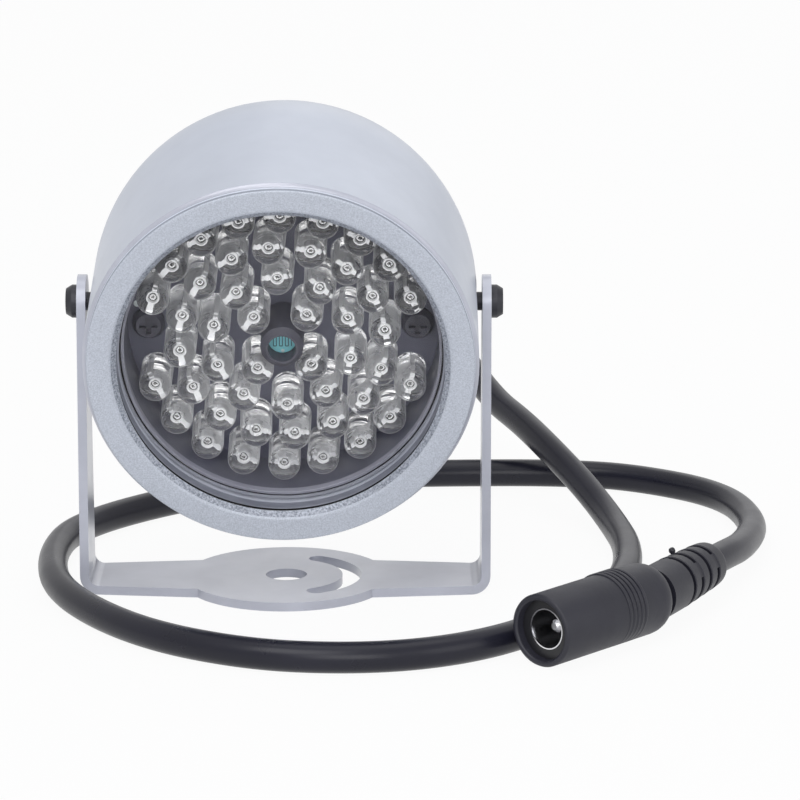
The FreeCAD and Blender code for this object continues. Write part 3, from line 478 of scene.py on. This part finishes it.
def resin_profile():
    """Foot with its bead, wall and half-round dome of the clear body."""
    wall = LED_HEIGHT - LED_RADIUS
    foot = LED_STANDOFF
    bead = [(2.2, 0), (2.4, 0.08), (2.5, 0.25), (2.5, 0.55), (2.42, 0.65), (2.42, 0.8), (2.5, 0.9),
            (2.5, 1.2)]
    profile = [(0, foot)] + in_mm(bead, foot) + [(LED_RADIUS, foot + 1.3 * MM), (LED_RADIUS, wall / 2)]
    rings = 18
    for step in range(rings):
        angle = math.pi / 2 * step / rings
        profile.append((LED_RADIUS * math.cos(angle), wall + LED_RADIUS * math.sin(angle)))
    return profile + [(0, LED_HEIGHT)]


def add_plate(shape, outline, place):
    """Stamped plate: an outline of X and Z in millimetres, with the frame's thickness in Y."""
    half = 0.26 * MM
    count = len(outline)
    points = [(x * MM, y, z * MM) for y in (-half, half) for x, z in outline]
    sides = [(k, (k + 1) % count, count + (k + 1) % count, count + k) for k in range(count)]
    shape.add(points, [tuple(range(count))[::-1], tuple(range(count, 2 * count))] + sides, place)


def add_frame(shape, place):
    """Leads and frame inside a diode: a wide post that ends in the wings, a narrow one and the cup."""
    wide_post = [(-1.52, 0), (-1.02, 0), (-1.02, 4.0), (-0.5, 4.9), (0.4, 5.6), (0.98, 6.6), (0.98, 7.1),
                 (-1.5, 7.1), (-1.6, 6.4), (-1.52, 5.8)]
    narrow_post = [(1.02, 0), (1.52, 0), (1.52, 6.2), (1.48, 7.0), (1.24, 7.0), (1.2, 6.2), (1.02, 5.4)]
    add_plate(shape, wide_post, place)
    add_plate(shape, narrow_post, place)
    cup = [(0.3, 5.9), (0.64, 6.5), (0.68, 7.26), (0.66, 7.3), (0.54, 7.3), (0.36, 7.05), (0, 7.05)]
    shape.lathe(in_mm(cup), FRAME_SEGMENTS, place)


def add_chip(shape, place):
    """Chip in the cup, a dark ring round it that paints the shade in the cup, and the bond wire that leaves it."""
    half = 0.15 * MM
    wire_half, wire_end = 0.03 * MM, 0.34 * MM
    floor, wire_foot, top = 7.04 * MM, 7.14 * MM, 7.2 * MM
    shape.block((-half, -half, floor), (half, half, top), place)
    # Painted shade: a dark ring in the chip's colour where the cup's bowl is in shade
    ring = [(0.33, 7.04), (0.33, 7.09), (0.4, 7.14), (0.43, 7.14), (0.38, 7.04)]
    shape.lathe(in_mm(ring), FRAME_SEGMENTS, place, closed=True)
    shape.block((half, -wire_half, wire_foot), (wire_end, wire_half, top), place)


def make_diodes():
    """Clear bodies, their metal frames and their chips, one piece of each for every circle."""
    profile = resin_profile()
    chance = random.Random(48)
    for row, (radius, angles) in LED_ROWS.items():
        bodies, frames, chips = Shape(), Shape(), Shape()
        for angle in angles:
            place = led_place(radius, angle, chance)
            bodies.lathe(profile, LED_SEGMENTS, place)
            add_frame(frames, place)
            add_chip(chips, place)
        resin = piece(f"{row}_resin", bodies, "head", "diode_resin", smooth_below=35)
        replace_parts(resin, row)
        piece(f"{row}_frames", frames, "head", "diode_resin", "diode_metal")
        piece(f"{row}_chips", chips, "head", "diode_resin", "diode_chip")


# Ring and gasket


def rounded(corners, chosen, size, steps=5):
    """Profile with the corners of the chosen numbers rounded off."""
    line = []
    for index, corner in enumerate(corners):
        if index not in chosen:
            line.append(corner)
            continue
        here, before = Vector(corner), Vector(corners[index - 1])
        after = Vector(corners[(index + 1) % len(corners)])
        first = here + (before - here).normalized() * size
        last = here + (after - here).normalized() * size
        for step in range(steps + 1):
            share = step / steps
            line.append(tuple((1 - share) ** 2 * first + 2 * share * (1 - share) * here + share ** 2 * last))
    return line


def make_ring():
    """Front ring with its rounded edge, crowned face, inner bevel and skirt."""
    chamfer = 0.15 * MM
    corners = [
        (SKIRT_OUTER, SEAM),
        (RING_RADIUS - chamfer, SEAM),
        (RING_RADIUS, SEAM + chamfer),
        (RING_RADIUS, FACE_OUTER_TOP),
        (FACE_INNER, FACE_INNER_TOP),
        (RING_INNER, BEVEL_FOOT),
        (CREASE, CREASE_TOP),
        (CREASE, WINDOW_FRONT),
        (SKIRT_INNER, WINDOW_FRONT),
        (SKIRT_INNER, SKIRT_END),
        (SKIRT_OUTER, SKIRT_END),
    ]
    edges_of_face = (3, 4)
    profile = rounded(corners, edges_of_face, FACE_ROUNDING)
    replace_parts(turned("ring", profile, "ring_metal"), "bezel_ring")


def make_ring_seat():
    """Wall below the bevel in a darker metal that paints its shade, and the groove between the two, lined black to
    paint its shade.
    """
    soft = 0.1 * MM
    seat = [(RING_INNER, WINDOW_FRONT), (RING_INNER, SEAT_TOP - soft), (RING_INNER + soft, SEAT_TOP),
            (CREASE, SEAT_TOP), (CREASE, WINDOW_FRONT)]
    # Painted shade: the wall takes a darker copy of the ring's metal
    turned("ring_seat", seat, "ring_metal", "painted_shade_seat_metal")
    lining = 0.03 * MM
    mouth, foot = RING_INNER + 0.06 * MM, SEAT_TOP - 0.05 * MM
    groove = [(mouth, foot), (mouth, SEAT_TOP + lining), (CREASE - lining, SEAT_TOP + lining),
              (CREASE - lining, CREASE_TOP), (CREASE, CREASE_TOP), (CREASE, foot)]
    # Painted shade: a black lining darkens the groove where shade falls
    turned("ring_groove_shade", groove, "ring_metal", "gasket_rubber")


def make_ring_bevel():
    """Thin skin with a coarser grain on the ring's bevel."""
    inner, outer = Vector((RING_INNER, BEVEL_FOOT)), Vector((FACE_INNER, FACE_INNER_TOP))
    slope = (inner - outer).normalized()
    lift = Vector((slope.y, -slope.x)) * BEVEL_SKIN
    near, far = inner.lerp(outer, 0.02), inner.lerp(outer, 0.78)
    turned("ring_bevel", [near - lift, near + lift, far + lift, far - lift], "ring_metal", "bevel_metal")


def make_window_bead():
    """Grey bead in the corner between the window and the ring, a painted highlight for the bright line there."""
    bead = [(RING_INNER, WINDOW_FRONT), (RING_INNER, WINDOW_FRONT + 0.3 * MM),
            (RING_INNER - 0.2 * MM, WINDOW_FRONT + 0.16 * MM), (RING_INNER - 0.25 * MM, WINDOW_FRONT)]
    # Painted highlight: the bead's light grey stands in for the glint on the window's edge
    turned("window_bead", bead, "gasket_rubber", "painted_highlight_grey")


def make_ring_side():
    """Rounded front edge of the housing, a bright line on the ring's side that is a painted highlight, and a
    darker band that is painted shade.
    """
    edge = [(29.97, 0), (29.8, 0.22), (29.55, 0.38), (29.37, 0.42), (29.37, 0)]
    # Painted highlight: a lighter skin where the ring's rounded edge catches the light
    line = [(29.36, 0.44), (29.42, 0.47), (29.42, 0.78), (29.36, 0.81)]
    # Painted shade: a darker skin of the ring's metal beside the bright line
    band = [(29.34, 0.83), (29.375, 0.83), (29.375, 1.36), (29.34, 1.36)]
    turned("housing_edge", in_mm(edge, SEAM), "housing_paint", "bracket_paint")
    turned("ring_highlight_line", in_mm(line, SEAM), "ring_metal", "painted_highlight_metal")
    turned("ring_side", in_mm(band, SEAM), "ring_metal", "painted_shade_band")


def make_gasket():
    """Gasket with its dark groove, the spacer's rim below it in a lighter grey that paints the light on it, and
    the grey washer with its two ridges, whose grey paints highlight lines.
    """
    low, high = GASKET_BACK, WINDOW_BACK - 0.03 * MM
    groove, washer = GASKET_INNER + 0.42 * MM, GASKET_INNER + 0.74 * MM
    hidden, floor = groove - 0.1 * MM, high - 0.25 * MM
    lip = [(hidden, low), (hidden, floor), (washer, floor), (washer, low)]
    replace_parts(turned("gasket_lip", lip, "gasket_rubber"), "window_gasket")
    start, wall = low - 0.5 * MM, GASKET_INNER + 0.1 * MM
    rim = [(GASKET_INNER, start), (GASKET_INNER, high - 0.1 * MM), (GASKET_INNER + 0.08 * MM, high),
           (groove, high), (groove, low), (wall, low), (wall, start)]
    # Painted light: the rim takes a lighter grey than the dark spacer
    turned("gasket_rim", rim, "gasket_rubber", "painted_light_rim")
    dip = 0.2 * MM
    width = 1.3
    ridges = [(0, dip), (0.06, 0), (0.4, 0), (0.5, dip), (0.6, dip), (0.68, 0), (0.98, 0), (1.08, dip),
              (width, dip)]
    section = [(washer, low)] + [(washer + across * MM, high - drop) for across, drop in ridges]
    section.append((washer + width * MM, low))
    # Painted highlight: the washer's grey and its ridges paint two bright lines behind the window's edge
    turned("gasket_washer", section, "gasket_rubber", "painted_highlight_grey")


# Sensor


def make_sensor():
    """Photocell on its two legs."""
    back = SENSOR_FACE - SENSOR_THICKNESS
    bevel = 0.1 * MM
    leg_spread, leg_radius = 1.3 * MM, 0.25 * MM
    disc = [(0, back), (SENSOR_RADIUS - bevel, back), (SENSOR_RADIUS, back + bevel),
            (SENSOR_RADIUS, SENSOR_FACE - bevel), (SENSOR_RADIUS - bevel, SENSOR_FACE), (0, SENSOR_FACE)]
    cell = Shape()
    cell.lathe(disc, 64, HEAD)
    for side in (-1, 1):
        leg = HEAD @ Matrix.Translation((side * leg_spread, 0, 0))
        cell.lathe([(0, BOARD_FRONT), (leg_radius, BOARD_FRONT), (leg_radius, back), (0, back)], 16, leg)
    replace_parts(piece("photocell", cell, "head", "sensor_ceramic", smooth_below=35), "light_sensor")


def make_track():
    """Comb-shaped track on the photocell's face."""
    track = Shape()
    bars, pitch, half, reach = 7, 0.46 * MM, 0.07 * MM, 1.2 * MM
    top = SENSOR_FACE + 0.04 * MM
    for bar in range(bars):
        x = (bar - 3) * pitch
        track.block((x - half, -reach, SENSOR_FACE), (x + half, reach, top), HEAD)
        if bar < bars - 1:
            end = -reach if bar % 2 == 0 else reach
            track.block((x, end - half, SENSOR_FACE), (x + pitch, end + half, top), HEAD)
    piece("photocell_track", track, "head", "sensor_ceramic", "sensor_track")


def make_solder():
    """Solder dots above and below the track, and a larger one on the board's left."""
    dots = Shape()
    cap = [(0, 0), (0.28, 0), (0.2, 0.1), (0, 0.14)]
    for y in (-2, 2):
        dots.lathe(in_mm(cap), 20, HEAD @ Matrix.Translation((0.05 * MM, y * MM, SENSOR_FACE)))
    wide_cap = [(2 * radius, height) for radius, height in in_mm(cap)]
    dots.lathe(wide_cap, 24, HEAD @ Matrix.Translation((-22.5 * MM, 3 * MM, BOARD_FRONT)))
    piece("solder_dots", dots, "head", "sensor_ceramic", "solder", smooth_below=35)


# Socket


def barrel_profile():
    """Bore, rounded rim, barrel and rounded shoulder."""
    return in_mm([
        (0, 16), (4.55, 16), (4.55, 0.35), (4.65, 0.12), (4.85, 0), (5.15, 0), (5.4, 0.12), (5.53, 0.4),
        (5.53, 22.6), (5.46, 23.4), (5.26, 24.15), (4.95, 24.8), (4.5, 25.3), (3.9, 25.6), (3.1, 25.75),
        (0, 25.8),
    ])


def add_ribs(shape):
    """Five fine ribs round the barrel, a little higher on top so that they stay off the floor."""
    first, pitch, lift = 14.4, 0.92, 0.12 * MM
    place = SOCKET @ Matrix.Translation((-lift, 0, 0))
    for rib in range(5):
        middle = first + pitch * rib
        profile = [(5.3, middle - 0.34), (5.56, middle - 0.3), (5.65, middle - 0.14), (5.65, middle + 0.14),
                   (5.56, middle + 0.3), (5.3, middle + 0.34)]
        shape.lathe(in_mm(profile), SOCKET_SEGMENTS, place, closed=True)


def relief_radius(height):
    """Outer radius of the neck and the relief at a distance from the root."""
    share = max(0, (height - NECK_LENGTH) / (RELIEF_LENGTH - NECK_LENGTH))
    return NECK_RADIUS + share * (RELIEF_TIP_RADIUS - NECK_RADIUS)


def relief_rings():
    """Heights of the relief's rings, with their radius and, in a slot, the row that the slot belongs to."""
    rings = [(0, 0, None), (0, NECK_RADIUS, None)]
    soft = 0.14 * MM
    for row in range(SLOT_ROWS):
        low = FIRST_SLOT + row * SLOT_PITCH
        high = low + SLOT_WIDTH
        wall = relief_radius((low + high) / 2)
        rings += [(low - soft, wall, None), (low, wall - soft, None), (low, wall - soft, row),
                  (high, wall - soft, row), (high, wall - soft, None), (high + soft, wall, None)]
    for back, inward in ((0.9, 0), (0.35, 0.08), (0.1, 0.28), (0, 0.6)):
        rings.append((RELIEF_LENGTH - back * MM, RELIEF_TIP_RADIUS - inward * MM, None))
    bore_end = RELIEF_LENGTH - RELIEF_BORE
    return rings + [(RELIEF_LENGTH, CORD_RADIUS, None), (bore_end, CORD_RADIUS, None), (bore_end, 0, None)]


def add_relief(shape):
    """Neck and tapering relief, with two slots in each row, turned a quarter from row to row."""
    rings = []
    for height, radius, row in relief_rings():
        if radius == 0:
            rings.append([(0, 0, height)])
            continue
        ring = []
        for turn in turns_of(RELIEF_SEGMENTS):
            toward = math.sin(turn) if row is None or row % 2 == 0 else math.cos(turn)
            in_slot = row is not None and abs(toward) > math.cos(SLOT_ANGLE / 2)
            reach = RELIEF_CORE_RADIUS if in_slot else radius
            ring.append((reach * math.cos(turn), reach * math.sin(turn), height))
        rings.append(ring)
    shape.skin(rings, RELIEF)


def add_nib(shape):
    """Small moulding nib that leans out of the relief."""
    spot = RELIEF_ROOT + NIB_DISTANCE * Vector((math.cos(RELIEF_HEADING), math.sin(RELIEF_HEADING), 0))
    lean = Vector((-math.sin(RELIEF_HEADING) * NIB_ACROSS, math.cos(RELIEF_HEADING) * NIB_ACROSS, NIB_UP))
    place = Matrix.Translation(spot) @ lean.to_track_quat("Z", "Y").to_matrix().to_4x4()
    knob = [(0, 3), (0.42, 3), (0.34, 4), (0.5, 4.25), (0.52, 4.6), (0.36, 4.9), (0, 5)]
    shape.lathe(in_mm(knob), 20, place)


def make_socket():
    """Moulded body of the socket, with its ribs, its slotted relief and its nib."""
    socket = Shape()
    socket.lathe(barrel_profile(), SOCKET_SEGMENTS, SOCKET)
    add_ribs(socket)
    add_relief(socket)
    add_nib(socket)
    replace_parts(piece("socket", socket, "bracket", "socket_moulding", smooth_below=40), "socket_body")


# Cord


def centreline(points):
    """Points along the smooth curve that has the given points as its control points."""
    curve = bpy.data.curves.new("route", "CURVE")
    curve.dimensions = "3D"
    spline = curve.splines.new("NURBS")
    spline.points.add(len(points) - 1)
    for spot, point in zip(spline.points, points):
        spot.co = (*point, 1)
    spline.order_u = 3
    spline.use_endpoint_u = True
    spline.resolution_u = 12
    holder = bpy.data.objects.new("route", curve)
    mesh = bpy.data.meshes.new_from_object(holder)
    line = [vertex.co.copy() for vertex in mesh.vertices]
    bpy.data.objects.remove(holder)
    return line


def sweep(shape, line, radius):
    """Round tube along a line of points, closed at its ends."""
    across = (line[1] - line[0]).orthogonal().normalized()
    rings = []
    for index, spot in enumerate(line):
        before, after = line[max(index - 1, 0)], line[min(index + 1, len(line) - 1)]
        heading = (after - before).normalized()
        across = (across - heading * across.dot(heading)).normalized()
        other = heading.cross(across)
        rings.append([spot + radius * (across * math.cos(turn) + other * math.sin(turn))
                      for turn in turns_of(CORD_SEGMENTS)])
    shape.skin([line[:1]] + rings + [line[-1:]])


def make_tube(name, line):
    """One length of the cord, from the first point of a line to its last."""
    tube = Shape()
    sweep(tube, line, CORD_RADIUS)
    cord = piece(name, tube, None, "cord_jacket", smooth_below=60)
    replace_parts(cord, "power_cord")
    return cord


def make_cord():
    """The cord in two lengths: the first, from the head to behind the pivot, rides on no body, and the second
    rides on the bracket.
    """
    line = centreline(CORD_POINTS)
    split = next(index for index, spot in enumerate(line) if spot.y > FLEX_END)
    root = make_tube("cord_root", line[:split + 1])
    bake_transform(root)
    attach(make_tube("cord", line[split:]), "bracket")


# Surroundings


def seen_rays(tree):
    """1 for rays from the camera, off gloss or through glass, and 0 for rays that light a surface."""
    path = tree.nodes.new("ShaderNodeLightPath")
    total = path.outputs["Is Camera Ray"]
    for name in ("Is Glossy Ray", "Is Transmission Ray"):
        total = combine(tree, "MAXIMUM", total, path.outputs[name])
    return total


def make_floor():
    """Pale floor that shows white to the camera and keeps a faint shadow."""
    reach = 6
    corners = [(-reach, -reach, 0), (reach, -reach, 0), (reach, reach, 0), (-reach, reach, 0)]
    mesh = bpy.data.meshes.new("floor")
    mesh.from_pydata(corners, [], [(0, 1, 2, 3)])
    floor = bpy.data.objects.new("floor", mesh)
    bpy.context.scene.collection.objects.link(floor)
    material, tree, shader = blank("floor")
    shader.inputs["Base Color"].default_value = (0.8, 0.8, 0.8, 1)
    shader.inputs["Roughness"].default_value = 0.9
    glow = tree.nodes.new("ShaderNodeEmission")
    glow.inputs["Strength"].default_value = 1
    share = combine(tree, "MULTIPLY", seen_rays(tree), 0.94)
    surface = mixed(tree, share, shader.outputs[0], glow.outputs[0])
    tree.links.new(surface, tree.nodes["Material Output"].inputs["Surface"])
    mesh.materials.append(material)


def make_world():
    """White behind the object, and a plain even light on it."""
    world = bpy.data.worlds.new("studio")
    bpy.context.scene.world = world
    world.use_nodes = True
    tree = world.node_tree
    light = tree.nodes["Background"]
    light.inputs["Color"].default_value = (0.93, 0.96, 1, 1)
    light.inputs["Strength"].default_value = 0.52
    white = tree.nodes.new("ShaderNodeBackground")
    white.inputs["Strength"].default_value = 1
    surface = mixed(tree, seen_rays(tree), light.outputs[0], white.outputs[0])
    tree.links.new(surface, tree.nodes["World Output"].inputs["Surface"])


def lamp(name, spot, target, width, power):
    """Square soft lamp that looks at a point."""
    light = bpy.data.lights.new(name, "AREA")
    light.size = width
    light.energy = power
    thing = bpy.data.objects.new(name, light)
    thing.location = spot
    thing.rotation_euler = (Vector(target) - Vector(spot)).to_track_quat("-Z", "Y").to_euler()
    bpy.context.scene.collection.objects.link(thing)


def make_lamps():
    """Key from the upper left, front beside the camera, fill from the right, one above and one behind."""
    centre = (0.01, 0, 0.03)
    lamp("key", (-0.3, -0.65, 0.85), centre, 0.6, 3.2)
    lamp("front", (0.05, -1, 0.35), centre, 0.5, 2.1)
    lamp("fill", (0.8, -0.6, 0.4), centre, 0.6, 1.3)
    lamp("top", (0.1, 0.1, 1.0), centre, 0.7, 1.6)
    lamp("back", (0.2, 0.9, 0.5), centre, 0.6, 0.5)


def make_camera():
    """Camera of the photograph: a long lens that looks down at the lamp."""
    dip = 13.54
    camera = bpy.data.cameras.new("camera")
    camera.lens = 180
    camera.sensor_width = 36
    camera.clip_start = 0.01
    thing = bpy.data.objects.new("camera", camera)
    thing.location = (0.018, -0.6103, 0.1768)
    thing.rotation_euler = (math.radians(90 - dip), 0, 0)
    bpy.context.scene.collection.objects.link(thing)
    bpy.context.scene.camera = thing


materials = make_materials()
dress_nodes()
make_diodes()
make_ring()
make_ring_seat()
make_ring_bevel()
make_window_bead()
make_ring_side()
make_gasket()
make_sensor()
make_track()
make_solder()
make_socket()
make_cord()
make_floor()
make_world()
make_lamps()
make_camera()
bpy.context.scene.view_settings.view_transform = "Standard"
